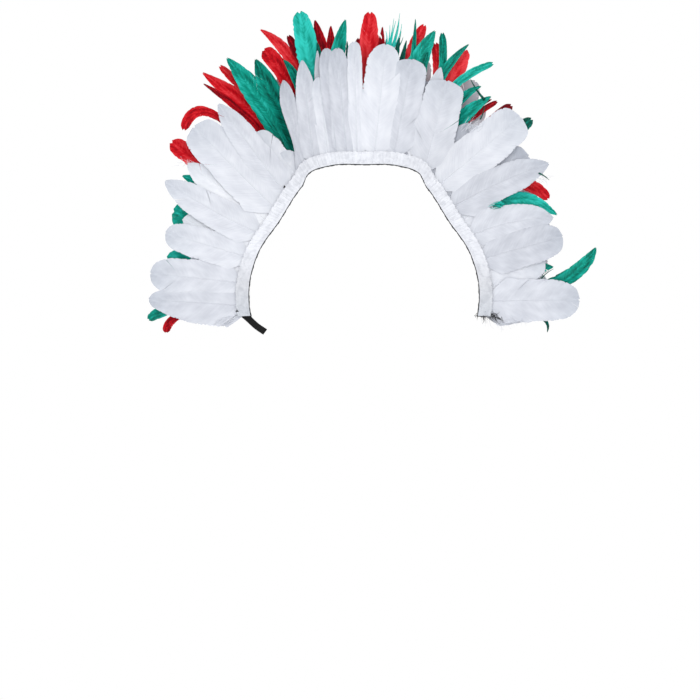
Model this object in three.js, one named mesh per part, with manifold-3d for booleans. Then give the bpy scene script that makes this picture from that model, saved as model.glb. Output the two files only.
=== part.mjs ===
// Feather shawl: a horseshoe of black felt worn round the neck and shoulders. Rows of white goose
// feathers and long green and red rooster feathers are sewn to it, and a white tape covers the quills.
// Millimetres. +X is the wearer's left (right in the front view), +Y is behind, +Z is up.
// The origin is the middle of the inner edge, where the shawl sits on the nape.

import * as THREE from 'three';
import Module from 'manifold-3d';

// Driving dimensions
const FAN_CENTRE_Z = -140; // the feathers fan out about this height below the nape
const END_TURN = 117.4; // half of the horseshoe, in degrees about the fan centre
const EDGE_STEPS = 60; // steps along the whole inner edge

const FELT_THICKNESS = 2;
const FELT_WIDTH = 50;
const FELT_SHOWS = 1.2; // felt seen as a dark line past the tape, inside and at the ends

const STRIP_THICKNESS = 1.4; // sewn strip that holds the quills of one row
const STRIP_WIDTH = 12;
const BLADE_THICKNESS = 1.1;
const QUILL_THICKNESS = 0.7;
const ROW_GAP = 0.6;
const ROW_PITCH = STRIP_THICKNESS + ROW_GAP;
const ROOT_OUT = 4; // a quill's end, measured outwards from the inner edge

const TAPE_THICKNESS = 1.2;
const TAPE_WIDTH = 19;
const TAPE_GATHER = 0.7; // every other fold of the gathered tape stands this much prouder

const SPREAD_START = 30; // the rows lie flat near the edge and open out over about this distance
const CANT = 0.02; // a blade's left side stands forward and its right side back, as a share of its spread

const BACK_ROW_COUNT = 28;
const BACK_ROW_TURN = 111;
const BACK_ROW_WIDTH = 36;
const BACK_ROW_REACH = 176; // at the nape
const BACK_ROW_REACH_VARY = 8;
const BACK_ROW_VARY_STEP = 2.4; // radians from one feather to the next
const BACK_ROW_SHORTER = 75; // less reach at the ends than at the nape

const RIBBON_WIDTH = 10;
const RIBBON_THICKNESS = 1;

// Inner edge of one half, from the nape to the front end and a little past it.
// turn: degrees from straight up about the fan centre. radius: distance from the fan centre in the
// front view. depth: Y of the felt's front face. lean: backward slope of the felt going outwards.
// rib: heading of the sewn strips going outwards, degrees from straight up.
const EDGE = [
  { at: 'nape', turn: 0, radius: 140, depth: 0, lean: 0.36, rib: 0 },
  { at: 'neck back', turn: 20, radius: 147, depth: -17, lean: 0.34, rib: 13 },
  { at: 'neck side', turn: 33, radius: 151, depth: -42, lean: 0.3, rib: 30 },
  { at: 'trapezius', turn: 42, radius: 141, depth: -62, lean: 0.26, rib: 48 },
  { at: 'collarbone', turn: 67, radius: 138, depth: -98, lean: 0.22, rib: 64 },
  { at: 'shoulder front', turn: 89, radius: 160, depth: -120, lean: 0.2, rib: 84 },
  { at: 'armpit', turn: 103, radius: 176, depth: -128, lean: 0.22, rib: 91 },
  { at: 'front end', turn: 117.4, radius: 191, depth: -130, lean: 0.25, rib: 93 },
  { at: 'below the end', turn: 135, radius: 206, depth: -130, lean: 0.25, rib: 96 },
];

// Rows from the felt forwards. level: place in the stack. opening: how fast the row stands away from
// the felt, forwards.
const ROWS = {
  goose_back: { level: 0, opening: 0.05 },
  coque_red: { level: 1, opening: 0.11 },
  coque_green: { level: 2, opening: 0.17 },
  goose_front_b: { level: 3, opening: 0.27 },
  goose_front_a: { level: 4, opening: 0.34 },
  header_tape: { level: 5, opening: 0.4 },
};

// Back feathers follow the felt and open backwards past its outer edge
const BACK_OPENING = 0.18;
const BACK_OPENS_AT = FELT_WIDTH + 26;

// Shapes of feather: half-width at each station along the quill, as a share of half the feather's width
const STATIONS = [0, 0.22, 0.52, 0.76, 0.92, 1];
const SHAPES = {
  goose_round: [0.2, 0.5, 0.92, 1, 0.74, 0.16],
  goose_broad: [0.2, 0.5, 0.92, 1, 0.9, 0.2],
  goose_pointed: [0.2, 0.54, 1, 0.88, 0.46, 0.06],
  goose_tapering: [0.2, 0.54, 1, 0.72, 0.42, 0.12],
  goose_narrow: [0.2, 0.36, 0.7, 1, 0.64, 0.08],
  coque_leaf: [0.26, 0.5, 0.96, 0.88, 0.46, 0.05],
  coque_round: [0.24, 0.44, 0.84, 1, 0.78, 0.12],
  coque_broad: [0.2, 0.38, 0.74, 1, 0.94, 0.2],
};

// Feathers of each row, from the left end over the neck to the right end. turn: root on the edge.
// bow: sideways bow of the feather to its right, as a share of its length. bend: how far along it bows.
// The front row of white feathers shows whole, and the row behind it fills in between, mostly shorter.
const STRAIGHT = { bow: 0, bend: 0.5 };
const GOOSE_FRONT_A = [
  { turn: -113, tipX: -322, tipZ: -204, width: 62, shape: 'goose_tapering' },
  { turn: -103, tipX: -319, tipZ: -164, width: 53, shape: 'goose_round' },
  { turn: -91, tipX: -297, tipZ: -101, width: 50, shape: 'goose_round' },
  { turn: -78, tipX: -298, tipZ: -24, width: 50, shape: 'goose_pointed', bow: -0.025 },
  { turn: -62, tipX: -249, tipZ: 62, width: 74, shape: 'goose_broad' },
  { turn: -52, tipX: -217, tipZ: 90, width: 48, shape: 'goose_pointed' },
  { turn: -37, tipX: -121, tipZ: 127, width: 24, shape: 'goose_narrow' },
  { turn: -29, tipX: -93, tipZ: 157, width: 32, shape: 'goose_pointed' },
  { turn: -21, tipX: -67, tipZ: 132, width: 28, shape: 'goose_round' },
  { turn: -16, tipX: -57, tipZ: 175, width: 28, shape: 'goose_round' },
  { turn: -10, tipX: -40, tipZ: 175, width: 34, shape: 'goose_round' },
  { turn: -4, tipX: -15, tipZ: 186, width: 22, shape: 'goose_broad' },
  { turn: 6, tipX: 33, tipZ: 181, width: 54, shape: 'goose_round' },
  { turn: 17, tipX: 72, tipZ: 159, width: 52, shape: 'goose_broad' },
  { turn: 36, tipX: 124, tipZ: 126, width: 60, shape: 'goose_broad' },
  { turn: 46, tipX: 235, tipZ: 70, width: 62, shape: 'goose_broad' },
  { turn: 61, tipX: 277, tipZ: 0, width: 48, shape: 'goose_pointed', bow: -0.03 },
  { turn: 80, tipX: 283, tipZ: -82, width: 52, shape: 'goose_pointed', bow: -0.06 },
  { turn: 92, tipX: 296, tipZ: -111, width: 54, shape: 'goose_broad' },
  { turn: 111, tipX: 322, tipZ: -204, width: 60, shape: 'goose_round' },
];
const GOOSE_FRONT_B = [
  { turn: -116, tipX: -285, tipZ: -210, width: 44, shape: 'goose_round' },
  { turn: -108, tipX: -298, tipZ: -182, width: 50, shape: 'goose_round' },
  { turn: -97, tipX: -258, tipZ: -136, width: 52, shape: 'goose_round' },
  { turn: -84, tipX: -258, tipZ: -72, width: 58, shape: 'goose_round' },
  { turn: -71, tipX: -265, tipZ: 0, width: 36, shape: 'goose_pointed' },
  { turn: -56, tipX: -192, tipZ: 39, width: 56, shape: 'goose_round' },
  { turn: -45, tipX: -153, tipZ: 39, width: 48, shape: 'goose_round' },
  { turn: -40, tipX: -120, tipZ: 9, width: 34, shape: 'goose_round' },
  { turn: -33, tipX: -100, tipZ: 103, width: 32, shape: 'goose_narrow' },
  { turn: -25, tipX: -70, tipZ: 173, width: 14, shape: 'goose_pointed' },
  { turn: -13, tipX: -46, tipZ: 160, width: 36, shape: 'goose_round' },
  { turn: -7, tipX: -25, tipZ: 147, width: 36, shape: 'goose_round' },
  { turn: -1, tipX: 0, tipZ: 114, width: 36, shape: 'goose_round' },
  { turn: 11, tipX: 54, tipZ: 158, width: 50, shape: 'goose_round' },
  { turn: 21.5, tipX: 94, tipZ: 126, width: 36, shape: 'goose_round' },
  { turn: 30, tipX: 115, tipZ: 147, width: 28, shape: 'goose_pointed' },
  { turn: 41, tipX: 159, tipZ: 54, width: 46, shape: 'goose_round' },
  { turn: 53, tipX: 247, tipZ: 10, width: 52, shape: 'goose_broad' },
  { turn: 70, tipX: 192, tipZ: -60, width: 52, shape: 'goose_round' },
  { turn: 86, tipX: 280, tipZ: -97, width: 52, shape: 'goose_round' },
  { turn: 98, tipX: 271, tipZ: -147, width: 50, shape: 'goose_round' },
  { turn: 105, tipX: 259, tipZ: -169, width: 48, shape: 'goose_round' },
  { turn: 116, tipX: 285, tipZ: -212, width: 40, shape: 'goose_round' },
];
const COQUE_GREEN = [
  { turn: -115, tipX: -322, tipZ: -234, width: 18, shape: 'coque_round', bow: 0.12, bend: 0.65 },
  { turn: -100, tipX: -295, tipZ: -142, width: 30, shape: 'coque_broad' },
  { turn: -80, tipX: -287, tipZ: -70, width: 36, shape: 'coque_broad' },
  { turn: -73, tipX: -273, tipZ: -24, width: 24, shape: 'coque_leaf', bow: 0.05 },
  { turn: -40, tipX: -207, tipZ: 160, width: 36, shape: 'coque_leaf', bow: 0.05 },
  { turn: -38, tipX: -200, tipZ: 141, width: 16, shape: 'coque_leaf', bow: 0.05 },
  { turn: -33, tipX: -163, tipZ: 159, width: 32, shape: 'coque_round', bow: 0.03 },
  { turn: -27, tipX: -121, tipZ: 157, width: 14, shape: 'coque_leaf', bow: 0.064, bend: 0.8 },
  { turn: -19, tipX: -96, tipZ: 231, width: 30, shape: 'coque_round' },
  { turn: -16, tipX: -70, tipZ: 186, width: 16, shape: 'coque_leaf' },
  { turn: -10, tipX: -27, tipZ: 220, width: 23, shape: 'coque_leaf', bow: -0.02 },
  { turn: 6, tipX: 54, tipZ: 193, width: 14, shape: 'coque_leaf' },
  { turn: 15, tipX: 108, tipZ: 202, width: 24, shape: 'coque_leaf', bow: -0.12, bend: 0.6 },
  { turn: 20, tipX: 96, tipZ: 171, width: 18, shape: 'coque_leaf' },
  { turn: 24, tipX: 118, tipZ: 199, width: 14, shape: 'coque_leaf', bow: 0.08 },
  { turn: 29, tipX: 159, tipZ: 181, width: 12, shape: 'coque_leaf', bow: -0.13, bend: 0.6 },
  { turn: 34, tipX: 195, tipZ: 151, width: 13, shape: 'coque_round', bow: -0.167, bend: 0.6 },
  { turn: 37, tipX: 177, tipZ: 117, width: 16, shape: 'coque_leaf', bow: -0.128, bend: 0.68 },
  { turn: 41, tipX: 192, tipZ: 102, width: 24, shape: 'coque_leaf', bow: -0.124, bend: 0.47 },
  { turn: 49, tipX: 252, tipZ: 67, width: 16, shape: 'coque_leaf' },
  { turn: 72, tipX: 289, tipZ: -78, width: 20, shape: 'coque_leaf', bow: -0.21, bend: 0.54 },
  { turn: 97, tipX: 282, tipZ: -150, width: 16, shape: 'coque_leaf' },
  { turn: 111, tipX: 346, tipZ: -124, width: 22, shape: 'coque_leaf', bow: 0.196, bend: 0.42 },
];
const COQUE_RED = [
  { turn: -116, tipX: -295, tipZ: -253, width: 13, shape: 'coque_broad', bow: 0.17, bend: 0.92 },
  { turn: -66, tipX: -289, tipZ: 33, width: 28, shape: 'coque_broad' },
  { turn: -50, tipX: -273, tipZ: 49, width: 21, shape: 'coque_broad', bow: 0.33, bend: 0.89 },
  { turn: -45, tipX: -240, tipZ: 139, width: 36, shape: 'coque_leaf', bow: 0.1 },
  { turn: -44, tipX: -243, tipZ: 121, width: 12, shape: 'coque_leaf', bow: 0.08 },
  { turn: -43, tipX: -207, tipZ: 117, width: 24, shape: 'coque_leaf', bow: 0.1 },
  { turn: -41, tipX: -217, tipZ: 148, width: 14, shape: 'coque_round', bow: 0.06 },
  { turn: -30, tipX: -151, tipZ: 172, width: 26, shape: 'coque_broad', bow: 0.08, bend: 0.71 },
  { turn: -25, tipX: -157, tipZ: 204, width: 20, shape: 'coque_leaf', bow: 0.12, bend: 0.68 },
  { turn: -20, tipX: -112, tipZ: 196, width: 15, shape: 'coque_round', bow: 0.03 },
  { turn: -14, tipX: -72, tipZ: 219, width: 26, shape: 'coque_leaf' },
  { turn: -10.5, tipX: -50, tipZ: 211, width: 22, shape: 'coque_leaf', bow: -0.03 },
  { turn: -3, tipX: -9, tipZ: 190, width: 14, shape: 'coque_leaf' },
  { turn: 2, tipX: 9, tipZ: 230, width: 27, shape: 'coque_broad' },
  { turn: 7, tipX: 28, tipZ: 210, width: 16, shape: 'coque_leaf' },
  { turn: 14, tipX: 91, tipZ: 211, width: 20, shape: 'coque_round', bow: -0.06 },
  { turn: 20, tipX: 105, tipZ: 183, width: 20, shape: 'coque_leaf', bow: 0.02 },
  { turn: 29, tipX: 152, tipZ: 172, width: 22, shape: 'coque_round' },
  { turn: 39, tipX: 193, tipZ: 97, width: 14, shape: 'coque_leaf', bow: -0.12 },
  { turn: 44, tipX: 223, tipZ: 87, width: 16, shape: 'coque_leaf', bow: -0.06 },
  { turn: 60, tipX: 276, tipZ: -54, width: 20, shape: 'coque_round', bow: -0.21, bend: 0.72 },
  { turn: 84, tipX: 275, tipZ: -140, width: 24, shape: 'coque_leaf', bow: -0.05 },
];

// Black tie that leaves the felt's left end and turns back under the arm.
// behind: distance behind the felt's front face.
const RIBBON = [
  { x: -207, z: -208, behind: 3.5 },
  { x: -189, z: -219, behind: 3.5 },
  { x: -174, z: -231, behind: 8 },
  { x: -161, z: -243, behind: 22 },
  { x: -148, z: -252, behind: 42 },
];

const FINISHES = {
  header_tape: { colour: '#d6dae5', roughness: 0.85 },
  goose_front_a: { colour: '#e0e6f0', roughness: 0.7 },
  goose_front_b: { colour: '#e0e6f0', roughness: 0.7 },
  coque_green: { colour: '#0a7a64', roughness: 0.5 },
  coque_red: { colour: '#c01c22', roughness: 0.5 },
  goose_back: { colour: '#d2d6de', roughness: 0.7 },
  felt_yoke: { colour: '#17191a', roughness: 0.95 },
  tie_ribbon: { colour: '#101112', roughness: 0.4 },
};

const wasm = await Module();
wasm.setup();

// Value of one column of EDGE at a turn, smooth and mirrored about the nape
function edgeColumn(turn, column) {
  const away = Math.min(Math.abs(turn), EDGE[EDGE.length - 1].turn);
  let i = 0;
  while (i < EDGE.length - 2 && away > EDGE[i + 1].turn) i += 1;
  const near = EDGE[i];
  const far = EDGE[i + 1];
  const mirror = column === 'rib' ? -1 : 1;
  const before = i > 0 ? EDGE[i - 1] : { turn: -far.turn, [column]: mirror * far[column] };
  const after = i + 2 < EDGE.length ? EDGE[i + 2] : far;
  const span = far.turn - near.turn;
  const slopeNear = (far[column] - before[column]) / (far.turn - before.turn);
  const slopeFar = (after[column] - near[column]) / (after.turn - near.turn);
  const s = (away - near.turn) / span;
  const s2 = s * s;
  const s3 = s2 * s;
  return (2 * s3 - 3 * s2 + 1) * near[column] + (s3 - 2 * s2 + s) * span * slopeNear
    + (3 * s2 - 2 * s3) * far[column] + (s3 - s2) * span * slopeFar;
}

// Point of the front view that lies a distance outwards from the inner edge
function outFromEdge(turn, out) {
  const angle = THREE.MathUtils.degToRad(turn);
  const radius = edgeColumn(turn, 'radius');
  const heading = THREE.MathUtils.degToRad(Math.sign(turn) * edgeColumn(turn, 'rib'));
  const x = radius * Math.sin(angle) + out * Math.sin(heading);
  const z = FAN_CENTRE_Z + radius * Math.cos(angle) + out * Math.cos(heading);
  return new THREE.Vector2(x, z);
}

// Y of the felt's front face under a point of the front view, and how far out that point is
function feltUnder(point) {
  const turn = THREE.MathUtils.radToDeg(Math.atan2(point.x, point.y - FAN_CENTRE_Z));
  const out = Math.hypot(point.x, point.y - FAN_CENTRE_Z) - edgeColumn(turn, 'radius');
  const y = edgeColumn(turn, 'depth') + edgeColumn(turn, 'lean') * out;
  return { y, out };
}

function spreadAt(out) {
  return out > 0 ? out * out / (out + SPREAD_START) : 0;
}

// Y of the middle of a row at a point; side is -1 or 1 at a blade's left or right edge
function rowDepth(point, row, side) {
  const { y, out } = feltUnder(point);
  const spread = spreadAt(out);
  const stack = ROW_GAP + row.level * ROW_PITCH + STRIP_THICKNESS / 2;
  const backward = row.level === 0 ? BACK_OPENING * Math.max(0, out - BACK_OPENS_AT) : 0;
  return y - stack - row.opening * spread + backward + side * CANT * spread;
}

// Closed solid through a list of four-cornered sections. The back (k = 1) is split along the same
// diagonal as the front, so that a twisted sheet keeps its thickness.
function loft(sections) {
  const positions = sections.flat().flatMap((p) => [p.x, p.y, p.z]);
  const triangles = [];
  for (let i = 0; i + 1 < sections.length; i += 1) {
    for (let k = 0; k < 4; k += 1) {
      const a = 4 * i + k;
      const b = 4 * i + (k + 1) % 4;
      const split = k === 1 ? [a, a + 4, b + 4, a, b + 4, b] : [a, a + 4, b, b, a + 4, b + 4];
      triangles.push(...split);
    }
  }
  const last = 4 * (sections.length - 1);
  triangles.push(0, 1, 2, 0, 2, 3);
  triangles.push(last, last + 2, last + 1, last, last + 3, last + 2);
  return new wasm.Manifold(new wasm.Mesh({
    numProp: 3,
    vertProperties: new Float32Array(positions),
    triVerts: new Uint32Array(triangles),
  }));
}

// Four corners of a sheet's section, front left first, seen from the front looking outwards
function sheetSection(left, right, leftY, rightY, front, back) {
  return [
    new THREE.Vector3(left.x, leftY - front, left.y),
    new THREE.Vector3(left.x, leftY + back, left.y),
    new THREE.Vector3(right.x, rightY + back, right.y),
    new THREE.Vector3(right.x, rightY - front, right.y),
  ];
}

// Band along the whole edge, from one distance outwards to another
function band(inner, outer, endTurn, depthOf, front, back) {
  const sections = [];
  for (let i = 0; i <= EDGE_STEPS; i += 1) {
    const turn = endTurn * (2 * i / EDGE_STEPS - 1);
    const near = outFromEdge(turn, inner);
    const far = outFromEdge(turn, outer);
    const frontHere = typeof front === 'function' ? front(i) : front;
    sections.push(sheetSection(far, near, depthOf(far), depthOf(near), frontHere, back));
  }
  return loft(sections);
}

// One feather blade from its quill on the edge to its tip
function blade(row, feather) {
  const { turn, tipX, tipZ, width, shape, bow, bend } = { ...STRAIGHT, ...feather };
  const root = outFromEdge(turn, ROOT_OUT);
  const tip = new THREE.Vector2(tipX, tipZ);
  const chord = tip.clone().sub(root);
  const sideways = new THREE.Vector2(chord.y, -chord.x);
  const middle = root.clone().addScaledVector(chord, bend).addScaledVector(sideways, 2 * bow);
  const spine = new THREE.QuadraticBezierCurve(root, middle, tip);
  const sections = STATIONS.map((along, i) => {
    const centre = spine.getPoint(along);
    const heading = spine.getTangent(along);
    const right = new THREE.Vector2(heading.y, -heading.x).multiplyScalar(SHAPES[shape][i] * width / 2);
    const leftPoint = centre.clone().sub(right);
    const rightPoint = centre.clone().add(right);
    const thickness = along === 0 ? QUILL_THICKNESS : BLADE_THICKNESS;
    const leftY = rowDepth(leftPoint, row, -1);
    const rightY = rowDepth(rightPoint, row, 1);
    return sheetSection(leftPoint, rightPoint, leftY, rightY, thickness / 2, thickness / 2);
  });
  return loft(sections);
}

// Row of feathers fused to its sewn strip
function featherRow(name, feathers) {
  const row = ROWS[name];
  const half = STRIP_THICKNESS / 2;
  const strip = band(0, STRIP_WIDTH, END_TURN, (point) => rowDepth(point, row, 0), half, half);
  return feathers.reduce((solid, feather) => solid.add(blade(row, feather)), strip);
}

function backFeathers() {
  return Array.from({ length: BACK_ROW_COUNT }, (_, i) => {
    const turn = BACK_ROW_TURN * (2 * i / (BACK_ROW_COUNT - 1) - 1);
    const shorter = BACK_ROW_SHORTER * Math.abs(turn) / BACK_ROW_TURN;
    const reach = BACK_ROW_REACH - shorter + BACK_ROW_REACH_VARY * Math.sin(i * BACK_ROW_VARY_STEP);
    const tip = outFromEdge(turn, reach);
    return { turn, tipX: tip.x, tipZ: tip.y, width: BACK_ROW_WIDTH, shape: 'goose_round' };
  });
}

function feltYoke() {
  const shows = THREE.MathUtils.radToDeg(FELT_SHOWS / edgeColumn(END_TURN, 'radius'));
  const depthOf = (point) => feltUnder(point).y;
  return band(-FELT_SHOWS, FELT_WIDTH, END_TURN + shows, depthOf, 0, FELT_THICKNESS);
}

function headerTape() {
  const gathered = (i) => TAPE_THICKNESS / 2 + TAPE_GATHER * (i % 2);
  const depthOf = (point) => rowDepth(point, ROWS.header_tape, 0);
  return band(0, TAPE_WIDTH, END_TURN, depthOf, gathered, TAPE_THICKNESS / 2);
}

function tieRibbon() {
  const middle = RIBBON.map(({ x, z, behind }) => {
    const y = feltUnder(new THREE.Vector2(x, z)).y + behind;
    return new THREE.Vector3(x, y, z);
  });
  const half = RIBBON_THICKNESS / 2;
  const sections = middle.map((centre, i) => {
    const ahead = middle[Math.min(i + 1, middle.length - 1)];
    const behind = middle[Math.max(i - 1, 0)];
    const run = ahead.clone().sub(behind).normalize();
    const across = new THREE.Vector3(-run.z, 0, run.x).normalize();
    const normal = run.clone().cross(across);
    const corner = (side, face) => centre.clone()
      .addScaledVector(across, side * RIBBON_WIDTH / 2)
      .addScaledVector(normal, face * half);
    return [corner(-1, -1), corner(-1, 1), corner(1, 1), corner(1, -1)];
  });
  return loft(sections);
}

function asMesh(name, solid) {
  const { vertProperties, triVerts } = solid.getMesh();
  const geometry = new THREE.BufferGeometry();
  geometry.setAttribute('position', new THREE.BufferAttribute(new Float32Array(vertProperties), 3));
  geometry.setIndex(new THREE.BufferAttribute(new Uint32Array(triVerts), 1));
  geometry.computeVertexNormals();
  const { colour, roughness } = FINISHES[name];
  const material = new THREE.MeshStandardMaterial({ color: colour, roughness, metalness: 0 });
  const mesh = new THREE.Mesh(geometry, material);
  mesh.name = name;
  return mesh;
}

const shawl = new THREE.Group();
shawl.add(
  asMesh('felt_yoke', feltYoke()),
  asMesh('goose_back', featherRow('goose_back', backFeathers())),
  asMesh('coque_red', featherRow('coque_red', COQUE_RED)),
  asMesh('coque_green', featherRow('coque_green', COQUE_GREEN)),
  asMesh('goose_front_b', featherRow('goose_front_b', GOOSE_FRONT_B)),
  asMesh('goose_front_a', featherRow('goose_front_a', GOOSE_FRONT_A)),
  asMesh('header_tape', headerTape()),
  asMesh('tie_ribbon', tieRibbon()),
);

export default shawl;
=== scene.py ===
"""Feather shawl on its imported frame: felt yoke, five rows of feathers, header tape and tie ribbon."""

import math
from collections import namedtuple

import bpy
import numpy as np
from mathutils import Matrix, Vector


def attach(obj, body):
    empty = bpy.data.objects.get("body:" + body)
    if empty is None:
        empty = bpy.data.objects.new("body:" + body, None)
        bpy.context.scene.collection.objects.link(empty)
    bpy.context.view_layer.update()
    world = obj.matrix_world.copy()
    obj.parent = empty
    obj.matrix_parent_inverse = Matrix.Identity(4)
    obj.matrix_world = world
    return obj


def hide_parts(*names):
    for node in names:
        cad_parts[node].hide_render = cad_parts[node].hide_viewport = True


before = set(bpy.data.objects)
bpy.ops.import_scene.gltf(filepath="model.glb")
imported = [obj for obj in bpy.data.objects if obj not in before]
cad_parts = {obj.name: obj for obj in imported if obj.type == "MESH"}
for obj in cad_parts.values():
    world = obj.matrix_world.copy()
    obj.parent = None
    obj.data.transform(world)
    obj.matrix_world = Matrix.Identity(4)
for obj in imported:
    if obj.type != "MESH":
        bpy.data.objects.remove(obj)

scene = bpy.context.scene
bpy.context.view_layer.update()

# Felt yoke
# A horseshoe cut from black wool felt, 2 mm thick, which carries the whole shawl. Every row of feathers is
# sewn to its front, so only a dark line of it shows from there.
FELT_THICKNESS = 0.002
FELT_WIDTH = 0.050
# Past the tape the felt shows at the lower ends; elsewhere its dark line is put where there is only shade
FELT_SHOWS = 0.0012
FELT_STEPS = 220
FELT_STEPS_ACROSS = 14
FELT_DARK = (0.004, 0.004, 0.005, 1.0)
FELT_LIGHT = (0.022, 0.023, 0.025, 1.0)
FAN_CENTRE_Z = -0.140
END_TURN = 117.4
CREASE_ANGLE = math.radians(50)

# One wave of a wandering edge or a gather: its height, pace along the piece, slant across it and start
Wave = namedtuple("Wave", "height pace slant start")
FELT_CUT_WANDER = 0.0003
FELT_CUT_WAVES = [Wave(1.0, 0.9, 0.0, 0.0), Wave(1.0, 2.3, 0.0, 1.0)]

# Inner edge of one half, by degrees from straight up about the fan centre. The rib is the heading of
# what is sewn on there, and the lean is the backward slope of the felt going outwards.
EdgeRow = namedtuple("EdgeRow", "turn radius depth lean rib")
EDGE = [
    EdgeRow(0, 0.140, 0.000, 0.36, 0),
    EdgeRow(20, 0.147, -0.017, 0.34, 13),
    EdgeRow(33, 0.151, -0.042, 0.30, 30),
    EdgeRow(42, 0.141, -0.062, 0.26, 48),
    EdgeRow(67, 0.138, -0.098, 0.22, 64),
    EdgeRow(89, 0.160, -0.120, 0.20, 84),
    EdgeRow(103, 0.176, -0.128, 0.22, 91),
    EdgeRow(END_TURN, 0.191, -0.130, 0.25, 93),
    EdgeRow(135, 0.206, -0.130, 0.25, 96),
]
EDGE_STEPS = 541
EDGE_TURNS = np.linspace(0.0, EDGE[-1].turn, EDGE_STEPS)


def smooth_curve(stops, values, at):
    """Smooth curve through the values, read at many places."""
    stops, values = np.array(stops, float), np.array(values, float)
    slopes = np.empty(len(stops))
    slopes[1:-1] = (values[2:] - values[:-2]) / (stops[2:] - stops[:-2])
    slopes[0] = (values[1] - values[0]) / (stops[1] - stops[0])
    slopes[-1] = (values[-1] - values[-2]) / (stops[-1] - stops[-2])
    near = np.clip(np.searchsorted(stops, at, side="right") - 1, 0, len(stops) - 2)
    span = stops[near + 1] - stops[near]
    s = (at - stops[near]) / span
    start = (2 * s**3 - 3 * s**2 + 1) * values[near] + (s**3 - 2 * s**2 + s) * span * slopes[near]
    end = (3 * s**2 - 2 * s**3) * values[near + 1] + (s**3 - s**2) * span * slopes[near + 1]
    return start + end


def wavy(waves, along, across):
    """The waves added up at each place."""
    return sum(wave.height * np.sin(wave.pace * along + wave.slant * across + wave.start) for wave in waves)


def edge_column(column, mirror):
    """One column of the edge, mirrored about its middle, at every one of EDGE_TURNS."""
    stops = [-EDGE[1].turn] + [row.turn for row in EDGE]
    values = [mirror * getattr(EDGE[1], column)] + [getattr(row, column) for row in EDGE]
    return smooth_curve(stops, values, EDGE_TURNS)


EDGE_RADIUS = edge_column("radius", 1)
EDGE_DEPTH = edge_column("depth", 1)
EDGE_LEAN = edge_column("lean", 1)
EDGE_RIB = edge_column("rib", -1)


def out_from_edge(turn, out):
    """Front-view place that lies a distance outwards from the inner edge."""
    away = np.abs(turn)
    angle = np.radians(turn)
    radius = np.interp(away, EDGE_TURNS, EDGE_RADIUS)
    heading = np.radians(np.sign(turn) * np.interp(away, EDGE_TURNS, EDGE_RIB))
    x = radius * np.sin(angle) + out * np.sin(heading)
    z = FAN_CENTRE_Z + radius * np.cos(angle) + out * np.cos(heading)
    return x, z


def felt_under(x, z):
    """Y of the felt's front face under a front-view place, and how far out from the edge it is."""
    away = np.degrees(np.abs(np.arctan2(x, z - FAN_CENTRE_Z)))
    out = np.hypot(x, z - FAN_CENTRE_Z) - np.interp(away, EDGE_TURNS, EDGE_RADIUS)
    y = np.interp(away, EDGE_TURNS, EDGE_DEPTH) + np.interp(away, EDGE_TURNS, EDGE_LEAN) * out
    return y, out


def deselect_all():
    bpy.ops.object.select_all(action="DESELECT")


def select_only(piece):
    deselect_all()
    piece.select_set(True)
    bpy.context.view_layer.objects.active = piece


def flat_band(name, steps, steps_across):
    """Flat grid to lay in place, with each point's share of the way along and across it."""
    deselect_all()
    bpy.ops.mesh.primitive_grid_add(
        x_subdivisions=steps, y_subdivisions=steps_across, size=1.0, calc_uvs=True)
    band = bpy.context.object
    band.name = name
    band.data.name = name
    flat = np.empty(len(band.data.vertices) * 3)
    band.data.vertices.foreach_get("co", flat)
    flat = flat.reshape(-1, 3)
    return band, flat[:, 0] + 0.5, flat[:, 1] + 0.5


def lay_band(band, x, y, z, thickness):
    """Puts the band's points in place and gives the cloth its thickness."""
    band.data.vertices.foreach_set("co", np.stack([x, y, z], axis=1).astype(np.float32).ravel())
    band.data.update()
    solidify = band.modifiers.new("thickness", "SOLIDIFY")
    solidify.thickness = thickness
    solidify.offset = 0.0
    solidify.use_even_offset = True
    select_only(band)
    bpy.ops.object.modifier_apply(modifier=solidify.name)
    bpy.ops.object.shade_smooth_by_angle(angle=CREASE_ANGLE)


def new_material(name, roughness, specular):
    """Material with its nodes, their links and its surface."""
    material = bpy.data.materials.new(name)
    material.use_nodes = True
    nodes = material.node_tree.nodes
    surface = nodes["Principled BSDF"]
    surface.inputs["Roughness"].default_value = roughness
    surface.inputs["Specular IOR Level"].default_value = specular
    return material, nodes, material.node_tree.links, surface


def shade_node(nodes, dark, light):
    """Node that runs from a dark shade to a light one."""
    node = nodes.new("ShaderNodeValToRGB")
    node.color_ramp.elements[0].color = dark
    node.color_ramp.elements[1].color = light
    return node


def bump_node(nodes, strength, distance):
    node = nodes.new("ShaderNodeBump")
    node.inputs["Strength"].default_value = strength
    node.inputs["Distance"].default_value = distance
    return node


felt_yoke, along, across = flat_band("felt_horseshoe", FELT_STEPS, FELT_STEPS_ACROSS)
felt_end = END_TURN + math.degrees(FELT_SHOWS / EDGE[-2].radius)
felt_turn = felt_end * (2 * along - 1)
cut_wander = FELT_CUT_WANDER * wavy(FELT_CUT_WAVES, felt_turn, across)
felt_out = -FELT_SHOWS + across * (FELT_SHOWS + FELT_WIDTH) + cut_wander * (2 * across - 1)
felt_x, felt_z = out_from_edge(felt_turn, felt_out)
felt_y, _ = felt_under(felt_x, felt_z)
lay_band(felt_yoke, felt_x, felt_y + FELT_THICKNESS / 2, felt_z, FELT_THICKNESS)

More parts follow.
